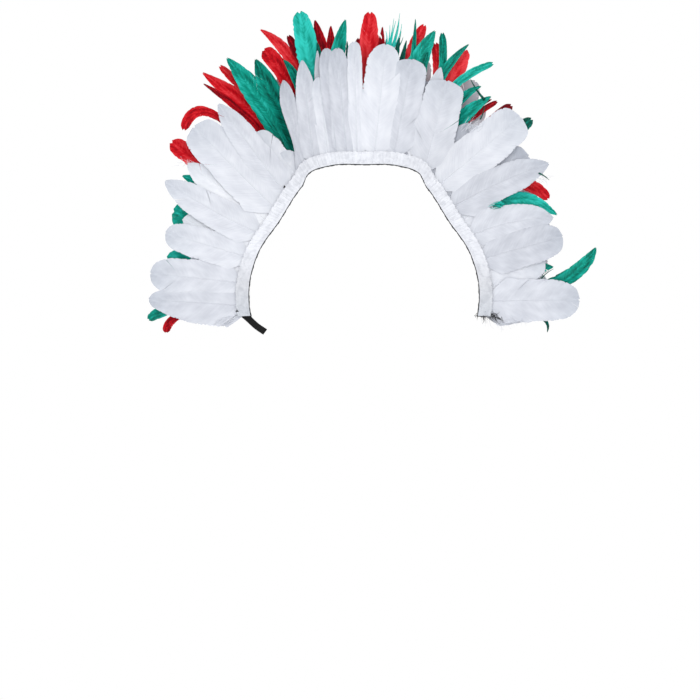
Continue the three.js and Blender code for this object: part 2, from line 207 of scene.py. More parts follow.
black_felt, nodes, links, surface = new_material("black_wool_felt", roughness=0.95, specular=0.2)
surface.inputs["Sheen Weight"].default_value = 0.2
surface.inputs["Sheen Roughness"].default_value = 0.5
place = nodes.new("ShaderNodeTexCoord")
fibres = nodes.new("ShaderNodeTexNoise")
fibres.inputs["Scale"].default_value = 900.0
fibres.inputs["Detail"].default_value = 6.0
fibres.inputs["Distortion"].default_value = 1.5
felt_shade = shade_node(nodes, FELT_DARK, FELT_LIGHT)
felt_bump = bump_node(nodes, strength=0.6, distance=0.0006)
links.new(place.outputs["Object"], fibres.inputs["Vector"])
links.new(fibres.outputs["Fac"], felt_shade.inputs["Fac"])
links.new(felt_shade.outputs["Color"], surface.inputs["Base Color"])
links.new(fibres.outputs["Fac"], felt_bump.inputs["Height"])
links.new(felt_bump.outputs["Normal"], surface.inputs["Normal"])
felt_yoke.data.materials.append(black_felt)
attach(felt_yoke, "root")
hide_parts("felt_yoke")

# Back goose feathers
# Goose feathers sewn straight onto the felt. They stand behind all the others and show only between the
# coloured tips, and as the back of the shawl. Their greyish-white colour is painted shade.

# Rows are stacked forwards from the felt on their sewn strips, and spread apart further out
ROW_GAP = 0.0006
STRIP_THICKNESS = 0.0014
ROW_PITCH = STRIP_THICKNESS + ROW_GAP
ROOT_OUT = 0.004
SPREAD_START = 0.030
VANE_THICKNESS = 0.00022
TUBE_SIDES = 6

# The quill tapers and ends just short of the feather's tip. Feathers differ a little in tone and curl.
QUILL_STEPS = 16
QUILL_REACH = 0.97
QUILL_TAPER = 0.85
HOOK_SHARPNESS = 6
TONE_VARY = 0.08
CURL_VARY = 0.010

# Barbs stand along the quill past its bare root. The vane's edge wanders and is nicked, and splits part
# its barbs into tufts, of which each stands a little forward or back.
BARE_ROOT = 0.02
BARBED_SHARE = 0.965
BARB_CURVE = 1.25
WANDER_STOPS = 9
WANDER_SHARE = 0.6
NICK_DEPTH = 2
NICK_RARITY = 4
LINES_WHOLE_AT_TIP = 4
NOTCH_SHARPNESS = 5
TUFT_LIFT = 0.0006

# A row's place in the stack on the felt, and how fast it opens away from the felt
Row = namedtuple("Row", "level opening")
# How one kind of feather grows: barb lines to a side, points along a barb, how far the barbs sweep
# forwards, most splits to a side, how far the barbs draw in beside a split, raggedness of the edge, how
# deep the vane is cupped, the quill's radius, and how much one side stands forward
Growth = namedtuple("Growth", "lines points sweep splits parting ragged cup quill cant")
# The turn where a feather is sewn on, its tip in the front view, its width and its shape. bow bends it to
# its right, as a share of its length, and bend is how far along the bow lies. hook bends only the tip, as a
# share of half the width. tone runs from dark to light: partly a feather's own tone, and partly painted
# shade where it lies in shadow and painted light where it faces the light.
Feather = namedtuple("Feather", "turn tip_x tip_z width shape bow hook tone bend",
                     defaults=(0.0, 0.0, 0.5, 0.5))
# Half-width along each shape of feather, as a share of half the width that is given for it. Most goose
# feathers are wider than that at their downy base.
Outline = namedtuple("Outline", "along half")
SHAPES = {
    "goose_round": [
        Outline(0.00, 1.15), Outline(0.15, 1.16), Outline(0.35, 1.12), Outline(0.55, 1.05),
        Outline(0.74, 1.00), Outline(0.86, 0.90), Outline(0.93, 0.72), Outline(0.975, 0.46),
        Outline(1.00, 0.05),
    ],
    "goose_broad": [
        Outline(0.00, 1.15), Outline(0.15, 1.16), Outline(0.35, 1.12), Outline(0.60, 1.04),
        Outline(0.82, 1.00), Outline(0.92, 0.90), Outline(0.97, 0.66), Outline(1.00, 0.08),
    ],
    "goose_pointed": [
        Outline(0.00, 1.20), Outline(0.12, 1.22), Outline(0.30, 1.16), Outline(0.55, 1.04),
        Outline(0.72, 0.92), Outline(0.86, 0.66), Outline(0.95, 0.32), Outline(1.00, 0.02),
    ],
    "goose_tapering": [
        Outline(0.00, 1.10), Outline(0.12, 1.12), Outline(0.30, 1.10), Outline(0.48, 1.02),
        Outline(0.65, 0.86), Outline(0.78, 0.68), Outline(0.89, 0.48), Outline(0.96, 0.30),
        Outline(1.00, 0.06),
    ],
    "goose_narrow": [
        Outline(0.00, 0.90), Outline(0.14, 0.65), Outline(0.30, 0.45), Outline(0.55, 0.75),
        Outline(0.75, 1.00), Outline(0.88, 0.80), Outline(0.95, 0.45), Outline(1.00, 0.03),
    ],
    "coque_leaf": [
        Outline(0.00, 0.30), Outline(0.15, 0.50), Outline(0.35, 0.82), Outline(0.55, 1.00),
        Outline(0.72, 0.94), Outline(0.86, 0.66), Outline(0.95, 0.32), Outline(1.00, 0.02),
    ],
    "coque_round": [
        Outline(0.00, 0.26), Outline(0.20, 0.46), Outline(0.45, 0.78), Outline(0.68, 1.00),
        Outline(0.84, 0.96), Outline(0.93, 0.82), Outline(0.975, 0.60), Outline(1.00, 0.16),
    ],
    "coque_broad": [
        Outline(0.00, 0.18), Outline(0.25, 0.40), Outline(0.50, 0.72), Outline(0.75, 1.00),
        Outline(0.90, 0.98), Outline(0.965, 0.78), Outline(1.00, 0.20),
    ],
}

BACK_ROW = Row(level=0, opening=0.05)
BACK_OPENING = 0.18
BACK_CLEARANCE = 0.026
BACK_OPENS_AT = FELT_WIDTH + BACK_CLEARANCE
BACK_COUNT = 28
BACK_TURN = 111
BACK_REACH = 0.176
BACK_REACH_VARY = 0.008
BACK_VARY_STEP = 2.4
BACK_SHORTER = 0.075
BACK_WIDTH = 0.038
BACK_GROWTH = Growth(lines=56, points=5, sweep=1.1, splits=3, parting=0.06, ragged=0.06, cup=0.015,
                     quill=0.0011, cant=0.025)
# One longer feather shows between the green tips on the right. Its low tone is painted shade.
LONG_BACK_FEATHER = Feather(34, 0.168, 0.126, 0.040, "goose_round", tone=0.1)


def row_depth(x, z, row, stand_back):
    """Y of a row at a front-view place, stood back by a share of how far the row has opened there."""
    y, out = felt_under(x, z)
    spread = np.where(out > 0, out * out / (np.abs(out) + SPREAD_START), 0.0)
    stack = ROW_GAP + row.level * ROW_PITCH + STRIP_THICKNESS / 2
    # Only the back row leans backwards, past the outer edge of the felt
    backward = BACK_OPENING * np.maximum(0.0, out - BACK_OPENS_AT) if row.level == 0 else 0.0
    return y - stack - row.opening * spread + backward + stand_back * spread


class Plumage:
    """Vertices, quads and surface values of one row, gathered feather by feather."""

    def __init__(self):
        self.points = []
        self.quads = []
        self.uvs = []
        self.along = []
        self.tint = []
        self.count = 0

    def add(self, points, quads, uvs, along, tint):
        self.points.append(points)
        self.quads.append(quads + self.count)
        self.uvs.append(uvs)
        self.along.append(along)
        self.tint.append(np.full(len(points), tint))
        self.count += len(points)

    def add_sheet(self, middle, uvs, along, tint):
        """Thin closed sheet through a grid of points."""
        rows, columns, _ = middle.shape
        half = np.array([0.0, VANE_THICKNESS / 2, 0.0])
        front = (middle - half).reshape(-1, 3)
        back = (middle + half).reshape(-1, 3)
        cells = np.arange(rows * columns).reshape(rows, columns)
        a, b = cells[:-1, :-1].ravel(), cells[:-1, 1:].ravel()
        c, d = cells[1:, 1:].ravel(), cells[1:, :-1].ravel()
        behind = rows * columns
        front_faces = np.stack([a, b, c, d], axis=1)
        back_faces = np.stack([d, c, b, a], axis=1) + behind
        loop = np.concatenate([cells[0, :-1], cells[:-1, -1], cells[-1, :0:-1], cells[:0:-1, 0]])
        ahead = np.roll(loop, -1)
        rim = np.stack([ahead, loop, loop + behind, ahead + behind], axis=1)
        quads = np.concatenate([front_faces, back_faces, rim])
        corner = middle.reshape(-1, 3)[[cells[0, 0], cells[0, 1], cells[1, 0]]]
        faces_back = np.cross(corner[1] - corner[0], corner[2] - corner[0])[1] > 0
        if faces_back:
            quads = quads[:, ::-1]
        flat_uvs = uvs.reshape(-1, 2)
        flat_along = along.ravel()
        self.add(np.concatenate([front, back]), quads, np.concatenate([flat_uvs, flat_uvs]),
                 np.concatenate([flat_along, flat_along]), tint)

    def add_tube(self, line, radius, along, tint):
        """Closed tube along a line, for a quill, a thread or a strand of down."""
        run = np.gradient(line, axis=0)
        run /= np.linalg.norm(run, axis=1, keepdims=True)
        side = np.cross(run, (0.0, 1.0, 0.0))
        side /= np.linalg.norm(side, axis=1, keepdims=True)
        up = np.cross(run, side)
        turn = np.arange(TUBE_SIDES) * 2 * np.pi / TUBE_SIDES
        ring = np.cos(turn)[None, :, None] * side[:, None, :] + np.sin(turn)[None, :, None] * up[:, None, :]
        tube = line[:, None, :] + radius[:, None, None] * ring
        cells = np.arange(len(line) * TUBE_SIDES).reshape(-1, TUBE_SIDES)
        around = np.roll(cells, -1, axis=1)
        walls = np.stack([cells[:-1], around[:-1], around[1:], cells[1:]], axis=-1).reshape(-1, 4)
        # Two quads close each six-sided end
        root_cap = cells[0][[[0, 3, 2, 1], [0, 5, 4, 3]]]
        tip_cap = cells[-1][[[0, 1, 2, 3], [0, 3, 4, 5]]]
        uvs = np.stack([np.zeros(len(line)), along], axis=1)
        quads = np.concatenate([walls, root_cap, tip_cap])
        self.add(tube.reshape(-1, 3), quads, np.repeat(uvs, TUBE_SIDES, axis=0),
                 np.repeat(along, TUBE_SIDES), tint)

    def to_piece(self, name, material):
        """All that was gathered, as one joined mesh."""
        points = np.concatenate(self.points).astype(np.float32)
        quads = np.concatenate(self.quads).astype(np.int32)
        mesh = bpy.data.meshes.new(name)
        mesh.vertices.add(len(points))
        mesh.vertices.foreach_set("co", points.ravel())
        mesh.loops.add(quads.size)
        mesh.loops.foreach_set("vertex_index", quads.ravel())
        mesh.polygons.add(len(quads))
        mesh.polygons.foreach_set("loop_start", np.arange(0, quads.size, 4, dtype=np.int32))
        uv_map = mesh.uv_layers.new(name="barbs")
        uv_map.data.foreach_set("uv", np.concatenate(self.uvs)[quads.ravel()].astype(np.float32).ravel())
        for attribute, values in (("along", self.along), ("tint", self.tint)):
            layer = mesh.attributes.new(attribute, "FLOAT", "POINT")
            layer.data.foreach_set("value", np.concatenate(values).astype(np.float32))
        mesh.update(calc_edges=True)
        mesh.materials.append(material)
        piece = bpy.data.objects.new(name, mesh)
        scene.collection.objects.link(piece)
        select_only(piece)
        bpy.ops.object.shade_smooth_by_angle(angle=CREASE_ANGLE)
        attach(piece, "root")
        return piece


class Spine:
    """Quill line of a feather in the front view, from its root on the edge to its tip."""

    def __init__(self, feather):
        root = np.array(out_from_edge(np.array(float(feather.turn)), ROOT_OUT))
        tip = np.array([feather.tip_x, feather.tip_z])
        chord = tip - root
        sideways = np.array([chord[1], -chord[0]])
        middle = root + feather.bend * chord + 2 * feather.bow * sideways
        self.knots = root, middle, tip
        self.length = np.hypot(*chord)
        self.hook = feather.hook * feather.width / 2

    def at(self, t):
        """Places along the quill, its heading there and the way to its right."""
        root, middle, tip = self.knots
        t = np.asarray(t)[..., None]
        place = (1 - t)**2 * root + 2 * t * (1 - t) * middle + t**2 * tip
        heading = 2 * (1 - t) * (middle - root) + 2 * t * (tip - middle)
        heading = heading / np.linalg.norm(heading, axis=-1, keepdims=True)
        right = np.stack([heading[..., 1], -heading[..., 0]], axis=-1)
        return place + self.hook * t**HOOK_SHARPNESS * right, heading, right


def grow_feather(plumage, rng, row, growth, feather):
    """One feather: a tapering quill with a vane of barbs on each side, split here and there."""
    spine = Spine(feather)
    half_width = feather.width / 2
    tint = np.clip(feather.tone + rng.normal(0.0, TONE_VARY), 0.0, 1.0)
    curl = rng.normal(0.0, CURL_VARY) * spine.length
    lift = rng.normal(0.0, growth.cant / 2)
    outline = SHAPES[feather.shape]
    outline_along = [station.along for station in outline]
    outline_half = [station.half for station in outline]

    def stand(xz, t, side):
        """Front-view places set at their depth in the row."""
        x, z = xz[..., 0], xz[..., 1]
        y = row_depth(x, z, row, growth.cant * side + lift)
        return np.stack([x, y + curl * t**2 + growth.cup * feather.width * side**2, z], axis=-1)

    for sign in (-1, 1):
        roots = BARE_ROOT + BARBED_SHARE * np.linspace(0.0, 1.0, growth.lines)
        reach = growth.sweep * half_width * smooth_curve(outline_along, outline_half, roots) / spine.length
        # Barbs sweep forwards, and none of them past the tip
        ends = roots + (1 - roots) * (1 - np.exp(-reach / (1 - roots)))
        wander_at_stops = rng.normal(0.0, growth.ragged * WANDER_SHARE, WANDER_STOPS)
        wander = np.interp(roots, np.linspace(0, 1, WANDER_STOPS), wander_at_stops)
        nicks = -NICK_DEPTH * growth.ragged * rng.random(growth.lines)**NICK_RARITY
        edge_half = half_width * smooth_curve(outline_along, outline_half, ends) * (1 + wander + nicks)
        # The lowest quarter of a vane and its tip stay whole
        may_split = np.arange(growth.lines // 4, growth.lines - LINES_WHOLE_AT_TIP)
        splits = rng.choice(may_split, size=rng.integers(0, growth.splits + 1), replace=False)
        stops = [0, *sorted(splits), growth.lines - 1]
        u = np.linspace(0.0, 1.0, growth.points + 1)
        for first, last in zip(stops[:-1], stops[1:]):
            # A sliver between two close splits has fallen out
            if last - first < 2:
                continue
            tuft = slice(first, last + 1)
            t = roots[tuft, None] + (ends[tuft, None] - roots[tuft, None]) * u**BARB_CURVE
            side = sign * u * (edge_half[tuft, None] / half_width)
            place, heading, right = spine.at(t)
            gather = np.linspace(1.0, -1.0, last - first + 1)[:, None]**NOTCH_SHARPNESS * u**2
            gather *= abs(rng.normal(0.0, growth.parting)) * half_width
            xz = place + right * (half_width * side)[..., None] + heading * gather[..., None]
            middle = stand(xz, t, side)
            middle[..., 1] += rng.normal(0.0, TUFT_LIFT) * u**2
            across = np.broadcast_to(sign * u, t.shape)
            barb_root = np.broadcast_to(roots[tuft, None], t.shape)
            plumage.add_sheet(middle, np.stack([across, barb_root], axis=-1), np.clip(t, 0, 1), tint)

    t = np.linspace(0.0, QUILL_REACH, QUILL_STEPS)
    quill = stand(spine.at(t)[0], t, 0 * t)
    plumage.add_tube(quill, growth.quill * (1 - QUILL_TAPER * t), t, tint)


def feather_row(name, node, row, growth, feathers, material, seed):
    """A whole row of feathers as one piece in place of its CAD node."""
    rng = np.random.default_rng(seed)
    plumage = Plumage()
    for feather in feathers:
        grow_feather(plumage, rng, row, growth, feather)
    piece = plumage.to_piece(name, material)
    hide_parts(node)


# How much the barb lines and patches weigh in a feather's tone, how far along it the painted shade
# of its base is strongest, and where between base and tip it carries no painted shade
BARB_LINE_WEIGHT = 1.2
PATCH_WEIGHT = 2.2
NOISE_MIDDLE = 0.5
TONE_MIDDLE = 0.5
BASE_SHADE_FULL_TO = 0.15
UNSHADED_AT = 0.6


def multiply_node(nodes):
    """Node that multiplies two colours."""
    node = nodes.new("ShaderNodeMix")
    node.data_type = "RGBA"
    node.blend_type = "MULTIPLY"
    node.inputs["Factor"].default_value = 1.0
    return node


def feather_material(name, dark, middle, light, base_painted_shade, tip_painted_shade, translucent, lively):
    """Vane with fine barb lines, tone drifting by feather and in patches, painted shade at base and tip."""
    material, nodes, links, surface = new_material(name, roughness=0.55, specular=0.08)
    barbs = nodes.new("ShaderNodeUVMap")
    barbs.uv_map = "barbs"

    def noise(scale_across, scale_along, detail):
        stretch = nodes.new("ShaderNodeMapping")
        stretch.inputs["Scale"].default_value = (scale_across, scale_along, 1.0)
        texture = nodes.new("ShaderNodeTexNoise")
        texture.inputs["Scale"].default_value = 1.0
        texture.inputs["Detail"].default_value = detail
        links.new(barbs.outputs["UV"], stretch.inputs["Vector"])
        links.new(stretch.outputs["Vector"], texture.inputs["Vector"])
        return texture.outputs["Fac"]

    def weighed(value, weight, add_to):
        """Adds a noise to the tone by its weight, measured from its middle."""
        step = nodes.new("ShaderNodeMath")
        step.operation = "MULTIPLY_ADD"
        step.inputs[1].default_value = weight
        step.inputs[2].default_value = -weight * NOISE_MIDDLE
        total = nodes.new("ShaderNodeMath")
        total.operation = "ADD"
        links.new(value, step.inputs[0])
        links.new(step.outputs["Value"], total.inputs[0])
        links.new(add_to, total.inputs[1])
        return total.outputs["Value"]

    tint = nodes.new("ShaderNodeAttribute")
    tint.attribute_name = "tint"
    along = nodes.new("ShaderNodeAttribute")
    along.attribute_name = "along"
    barb_lines = noise(scale_across=1.6, scale_along=80.0, detail=4.0)
    patches = noise(scale_across=1.8, scale_along=5.0, detail=2.0)
    tone = weighed(barb_lines, BARB_LINE_WEIGHT * lively, tint.outputs["Fac"])
    tone = weighed(patches, PATCH_WEIGHT * lively, tone)
    dye = shade_node(nodes, (*dark, 1.0), (*light, 1.0))
    dye.color_ramp.elements.new(TONE_MIDDLE).color = (*middle, 1.0)
    # Painted shade along the feather, at its base and at its tip, by the colours each material is given
    length_shade = shade_node(nodes, (*base_painted_shade, 1.0), (*tip_painted_shade, 1.0))
    length_shade.color_ramp.elements[0].position = BASE_SHADE_FULL_TO
    length_shade.color_ramp.elements.new(UNSHADED_AT).color = (1.0, 1.0, 1.0, 1.0)
    length_shaded = multiply_node(nodes)
    bump = bump_node(nodes, strength=0.2, distance=0.0004)
    through = nodes.new("ShaderNodeBsdfTranslucent")
    both = nodes.new("ShaderNodeMixShader")
    both.inputs["Fac"].default_value = translucent
    links.new(tone, dye.inputs["Fac"])
    links.new(along.outputs["Fac"], length_shade.inputs["Fac"])
    links.new(dye.outputs["Color"], length_shaded.inputs["A"])
    links.new(length_shade.outputs["Color"], length_shaded.inputs["B"])
    links.new(length_shaded.outputs["Result"], surface.inputs["Base Color"])
    links.new(length_shaded.outputs["Result"], through.inputs["Color"])
    links.new(barb_lines, bump.inputs["Height"])
    links.new(bump.outputs["Normal"], surface.inputs["Normal"])
    links.new(surface.outputs["BSDF"], both.inputs[1])
    links.new(through.outputs["BSDF"], both.inputs[2])
    links.new(both.outputs["Shader"], nodes["Material Output"].inputs["Surface"])
    return material


back_feathers = []
for i in range(BACK_COUNT):
    back_turn = BACK_TURN * (2 * i / (BACK_COUNT - 1) - 1)
    back_reach = BACK_REACH - BACK_SHORTER * abs(back_turn) / BACK_TURN
    back_reach += BACK_REACH_VARY * math.sin(i * BACK_VARY_STEP)
    back_x, back_z = out_from_edge(np.array(back_turn), back_reach)
    back_feathers.append(Feather(back_turn, back_x, back_z, BACK_WIDTH, "goose_round"))
back_feathers.append(LONG_BACK_FEATHER)
# The back row's colours are grey as painted shade from the rows in front
shaded_back_goose = feather_material(
    "back_goose_painted_shade", dark=(0.48, 0.47, 0.52), middle=(0.62, 0.62, 0.67), light=(0.72, 0.72, 0.76),
    base_painted_shade=(0.9, 0.9, 0.9), tip_painted_shade=(1.0, 1.0, 1.0), translucent=0.2, lively=0.5)
feather_row("goose_back_feathers", "goose_back", BACK_ROW, BACK_GROWTH, back_feathers,
            shaded_back_goose, seed=11)

# Red rooster feathers
# Long slender tail feathers dyed red, sewn on in front of the back row and standing out past the white
# ones. Some end in a point and some are round or blunt. Some are darker than others, partly by their dye
# and partly by painted shade where they lie deep between the others.
RED_ROW = Row(level=1, opening=0.11)
COQUE_GROWTH = Growth(lines=56, points=5, sweep=1.5, splits=3, parting=0.01, ragged=0.06, cup=0.06,
                      quill=0.0008, cant=0.02)
RED_FEATHERS = [
    Feather(-116, -0.2955, -0.2535, 0.013, "coque_broad", bow=0.17, tone=0.25, bend=0.92),
    Feather(-66, -0.2895, 0.033, 0.028, "coque_broad", tone=0.6),
    Feather(-50, -0.270, 0.0495, 0.017, "coque_broad", bow=0.235, tone=0.45, bend=1.16),
    Feather(-45, -0.2475, 0.1305, 0.028, "coque_leaf", bow=0.12, hook=0.6, tone=0.55),
    Feather(-44, -0.243, 0.1215, 0.014, "coque_leaf", bow=0.08, tone=0.25),
    Feather(-43, -0.210, 0.117, 0.024, "coque_leaf", bow=0.11, tone=0.3),
    Feather(-41, -0.2175, 0.1485, 0.014, "coque_round", bow=0.06),
    Feather(-30, -0.1515, 0.1725, 0.026, "coque_broad", bow=0.08, bend=0.71),
    Feather(-25, -0.1575, 0.204, 0.020, "coque_leaf", bow=0.12, tone=0.7, bend=0.68),
    Feather(-20, -0.1125, 0.1965, 0.015, "coque_round", bow=0.03, hook=-0.3, tone=0.1),
    Feather(-14, -0.0705, 0.2205, 0.026, "coque_leaf", hook=-0.3, tone=0.15),
    Feather(-10.5, -0.050, 0.2115, 0.022, "coque_leaf", bow=-0.03, tone=0.2),
    Feather(-2, -0.0075, 0.192, 0.016, "coque_round", tone=0.05),
    Feather(2, 0.009, 0.231, 0.028, "coque_round", tone=0.7),
    Feather(7, 0.028, 0.210, 0.016, "coque_leaf", tone=0.1),
    Feather(10, 0.034, 0.192, 0.012, "coque_leaf", tone=0.1),
    Feather(14, 0.0915, 0.2115, 0.020, "coque_round", bow=-0.06, tone=0.6),
    Feather(24, 0.107, 0.1840, 0.020, "coque_round", bow=0.13, tone=0.55),
    Feather(29, 0.153, 0.1740, 0.028, "coque_round", tone=0.85),
    Feather(39, 0.1935, 0.0975, 0.014, "coque_leaf", bow=-0.15, tone=0.05),
    Feather(40, 0.201, 0.0945, 0.009, "coque_broad", bow=-0.10, tone=0.1),
    Feather(44, 0.222, 0.0885, 0.018, "coque_broad", bow=-0.03, tone=0.1),
    Feather(60, 0.276, -0.054, 0.020, "coque_round", bow=-0.21, tone=0.45, bend=0.72),
    Feather(84, 0.275, -0.140, 0.024, "coque_leaf", bow=-0.05, tone=0.6),
]
red_coque = feather_material(
    "red_coque", dark=(0.12, 0.000, 0.004), middle=(0.52, 0.004, 0.010), light=(0.74, 0.050, 0.060),
    base_painted_shade=(0.5, 0.35, 0.4), tip_painted_shade=(1.0, 1.0, 1.0), translucent=0.12, lively=0.8)
feather_row("coque_red_feathers", "coque_red", RED_ROW, COQUE_GROWTH, RED_FEATHERS,
            red_coque, seed=23)

# Green rooster feathers
# The same tail feathers dyed green, sewn on in front of the red ones so that the two colours mix. A few
# are worn down to loose barbs or a bare quill.
GREEN_ROW = Row(level=2, opening=0.17)
# Dark tones here are partly dye and partly painted shade deep between the whites; light ones partly painted
# light
GREEN_FEATHERS = [
    Feather(-115, -0.3225, -0.234, 0.018, "coque_round", bow=0.12, tone=0.3, bend=0.65),
    Feather(-100, -0.2955, -0.1425, 0.030, "coque_broad", tone=0.45),
    Feather(-80, -0.286, -0.072, 0.042, "coque_broad", tone=0.55),
    Feather(-73, -0.273, -0.018, 0.026, "coque_leaf", bow=0.05, tone=0.6),
    Feather(-62, -0.268, 0.033, 0.012, "coque_leaf", tone=0.4),
    Feather(-40, -0.207, 0.1605, 0.036, "coque_leaf", bow=0.05, tone=0.4),
    Feather(-38, -0.200, 0.141, 0.016, "coque_leaf", bow=0.05, tone=0.4),
    Feather(-33, -0.1635, 0.159, 0.036, "coque_leaf", tone=0.32),
    Feather(-27, -0.1215, 0.1575, 0.014, "coque_leaf", bow=0.064, tone=0.3, bend=0.8),
    Feather(-19, -0.0975, 0.231, 0.034, "coque_round", tone=0.9),
    Feather(-16, -0.0705, 0.186, 0.016, "coque_leaf", tone=0.1),
    Feather(-10, -0.027, 0.2205, 0.027, "coque_leaf", bow=-0.08),
    Feather(-7, -0.0255, 0.188, 0.010, "coque_leaf", tone=0.02),
    Feather(6, 0.054, 0.193, 0.014, "coque_leaf", tone=0.05),
    Feather(8, 0.0645, 0.189, 0.012, "coque_leaf", tone=0.15),
    Feather(12, 0.0775, 0.222, 0.009, "coque_leaf", bow=0.05, tone=0.3),
    Feather(15, 0.108, 0.2025, 0.034, "coque_leaf", bow=-0.06, tone=0.48),
    Feather(20, 0.096, 0.171, 0.018, "coque_leaf", tone=0.2),
    Feather(23, 0.1175, 0.1995, 0.012, "coque_broad", bow=0.10, tone=0.48),
    Feather(29, 0.159, 0.1815, 0.015, "coque_leaf", bow=-0.10, tone=0.3, bend=0.6),
    Feather(34, 0.195, 0.1515, 0.013, "coque_round", bow=-0.167, tone=0.6, bend=0.6),
    Feather(37, 0.177, 0.117, 0.016, "coque_leaf", bow=-0.128, tone=0.4, bend=0.68),
    Feather(41, 0.192, 0.102, 0.024, "coque_leaf", bow=-0.124, tone=0.55, bend=0.47),
    Feather(49, 0.252, 0.0675, 0.022, "coque_round", tone=0.15),
    Feather(72, 0.2895, -0.078, 0.025, "coque_leaf", bow=-0.21, tone=0.65, bend=0.54),
    Feather(97, 0.2835, -0.155, 0.022, "coque_leaf", tone=0.3),
    Feather(111, 0.3465, -0.1245, 0.023, "coque_leaf", bow=0.124, tone=0.42, bend=0.74),
    Feather(116, 0.273, -0.2535, 0.006, "coque_leaf", bow=-0.2, tone=0.02, bend=1.02),
]
green_coque = feather_material(
    "green_coque", dark=(0.000, 0.060, 0.042), middle=(0.002, 0.26, 0.195), light=(0.030, 0.53, 0.46),
    base_painted_shade=(0.3, 0.4, 0.38), tip_painted_shade=(1.0, 1.0, 1.0), translucent=0.12, lively=0.8)
feather_row("coque_green_feathers", "coque_green", GREEN_ROW, COQUE_GROWTH, GREEN_FEATHERS,
            green_coque, seed=37)

# Loose barbs stand up from a worn feather right of the middle, and four bare dark quills show further down
# on that side. A strand tapers from its start to its end, and has the colour of a feather's outer part,
# past the painted shade of its base.
Strand = namedtuple("Strand", "start_x start_z end_x end_z bow radius tone")
STRAND_STEPS = 9
STRAND_TAPER = 0.8
STRAND_ALONG_FROM = 0.6
STRAND_ALONG_RUN = 0.1
GREEN_WISPS = [
    Strand(0.034, 0.178, 0.033, 0.201, 0.05, 0.0015, 1.0),
    Strand(0.036, 0.178, 0.039, 0.210, 0.03, 0.0013, 1.0),
    Strand(0.037, 0.178, 0.045, 0.220, 0.02, 0.0012, 0.9),
    Strand(0.040, 0.178, 0.048, 0.216, -0.02, 0.0016, 1.0),
    Strand(0.042, 0.178, 0.054, 0.228, 0.03, 0.0012, 0.8),
    Strand(0.044, 0.177, 0.053, 0.219, 0.04, 0.0016, 1.0),
    Strand(0.045, 0.176, 0.057, 0.212, 0.06, 0.0013, 1.0),
    Strand(0.048, 0.175, 0.056, 0.201, 0.05, 0.0013, 0.5),
    Strand(0.050, 0.174, 0.059, 0.192, 0.05, 0.0013, 0.3),
    Strand(0.181, 0.096, 0.160, 0.1275, -0.04, 0.0022, 0.0),
    Strand(0.249, -0.176, 0.273, -0.156, -0.05, 0.0010, 0.0),
    Strand(0.255, -0.177, 0.276, -0.160, -0.05, 0.0010, 0.0),
    Strand(0.261, -0.178, 0.283, -0.158, -0.08, 0.0012, 0.1),
]


def strand_piece(name, material, row, strands):
    """Thin tapering strands laid at the depth of a row, as one piece."""
    plumage = Plumage()
    t = np.linspace(0.0, 1.0, STRAND_STEPS)
    for strand in strands:
        chord_x = strand.end_x - strand.start_x
        chord_z = strand.end_z - strand.start_z
        bulge = 4 * strand.bow * t * (1 - t)
        x = strand.start_x + t * chord_x + bulge * chord_z
        z = strand.start_z + t * chord_z - bulge * chord_x
        line = np.stack([x, row_depth(x, z, row, 0.0), z], axis=1)
        radius = strand.radius * (1 - STRAND_TAPER * t)
        plumage.add_tube(line, radius, STRAND_ALONG_FROM + STRAND_ALONG_RUN * t, strand.tone)
    plumage.to_piece(name, material)


strand_piece("green_wisps", green_coque, GREEN_ROW, GREEN_WISPS)

# On the right the barbs of a worn green feather are pulled out over the white ones, and two bare dark
# quills show there too
BARB_ROW = Row(level=4.6, opening=0.36)
GREEN_BARBS = [
    Strand(0.210, -0.062, 0.190, -0.061, 0.05, 0.0011, 0.6),
    Strand(0.209, -0.060, 0.187, -0.063, 0.08, 0.0010, 0.8),
    Strand(0.207, -0.064, 0.189, -0.068, 0.04, 0.0011, 0.7),
    Strand(0.206, -0.058, 0.193, -0.059, 0.06, 0.0009, 0.9),
    Strand(0.203, -0.063, 0.185, -0.065, 0.06, 0.0008, 0.9),
    Strand(0.204, -0.066, 0.193, -0.069, 0.02, 0.0009, 0.5),
    Strand(0.261, -0.015, 0.2765, -0.0255, -0.06, 0.0014, 0.0),
    Strand(0.174, 0.066, 0.1815, 0.0915, 0.04, 0.0011, 0.0),
]
strand_piece("green_barbs", green_coque, BARB_ROW, GREEN_BARBS)

